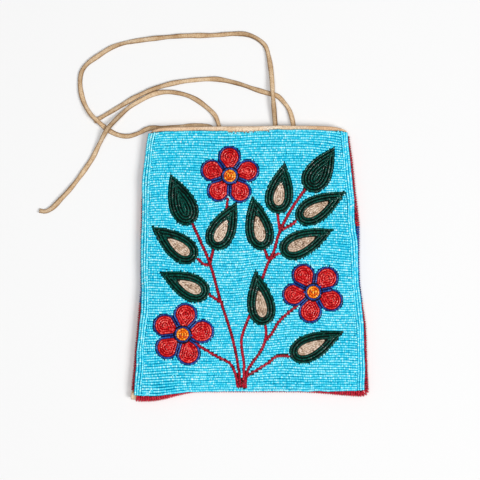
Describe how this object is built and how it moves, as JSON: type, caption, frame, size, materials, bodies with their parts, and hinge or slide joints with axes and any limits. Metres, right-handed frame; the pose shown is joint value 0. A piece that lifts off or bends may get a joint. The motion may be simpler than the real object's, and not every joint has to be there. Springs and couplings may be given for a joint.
{
  "type": "beaded flat bag",
  "caption": "Flat hide bag, wider at its foot, its front sewn over with glass seed beads in a flower and leaf design, with a beaded edge, an open top and hide thongs to carry and tie it.",
  "frame": {"origin": "centre of the bag without its thongs, on the flat underside of the back panel", "axes": "+X to the right of the beaded front, +Y from the foot to the mouth, +Z out of the beaded front"},
  "size_m": [0.2906, 0.3272, 0.0104],
  "materials": {
    "hide": "smoked buckskin, napped",
    "thong": "cut hide, suede side out",
    "light_blue_beads": "opaque glass seed beads",
    "green_beads": "opaque glass seed beads",
    "tan_beads": "opaque glass seed beads",
    "red_beads": "opaque glass seed beads",
    "cobalt_beads": "opaque glass seed beads",
    "orange_beads": "opaque glass seed beads",
    "crimson_beads": "opaque glass seed beads"
  },
  "bodies": {
    "root": {"back_panel": "hide", "bead_ground": "light_blue_beads", "bead_ground_inner": "light_blue_beads", "border_left": "light_blue_beads", "border_right": "light_blue_beads", "edge_foot": "crimson_beads", "edge_left_lower": "crimson_beads", "edge_left_middle": "cobalt_beads", "edge_left_upper": "crimson_beads", "edge_right_lower": "crimson_beads", "edge_right_middle": "cobalt_beads", "edge_right_upper": "crimson_beads", "flower_centre_1": "orange_beads", "flower_centre_2": "orange_beads", "flower_centre_3": "orange_beads", "flower_outline_1": "cobalt_beads", "flower_outline_2": "cobalt_beads", "flower_outline_3": "cobalt_beads", "front_panel": "hide", "leaf_01": "green_beads", "leaf_02": "green_beads", "leaf_03": "green_beads", "leaf_04": "green_beads", "leaf_05": "green_beads", "leaf_06": "green_beads", "leaf_07": "green_beads", "leaf_08": "green_beads", "leaf_09": "green_beads", "leaf_10": "green_beads", "leaf_11": "green_beads", "leaf_centre_02": "tan_beads", "leaf_centre_03": "tan_beads", "leaf_centre_04": "tan_beads", "leaf_centre_05": "tan_beads", "leaf_centre_06": "tan_beads", "leaf_centre_08": "tan_beads", "leaf_centre_09": "tan_beads", "leaf_centre_10": "tan_beads", "leaf_centre_11": "tan_beads", "left_tie_thong": "thong", "petal_1_1": "red_beads", "petal_1_2": "red_beads", "petal_1_3": "red_beads", "petal_1_4": "red_beads", "petal_1_5": "red_beads", "petal_2_1": "red_beads", "petal_2_2": "red_beads", "petal_2_3": "red_beads", "petal_2_4": "red_beads", "petal_2_5": "red_beads", "petal_3_1": "red_beads", "petal_3_2": "red_beads", "petal_3_3": "red_beads", "petal_3_4": "red_beads", "petal_3_5": "red_beads", "right_tie_thong": "thong", "stem_foot": "crimson_beads", "stem_spray": "crimson_beads", "stem_top": "crimson_beads", "strap_thong": "thong"}
  },
  "joints": []
}
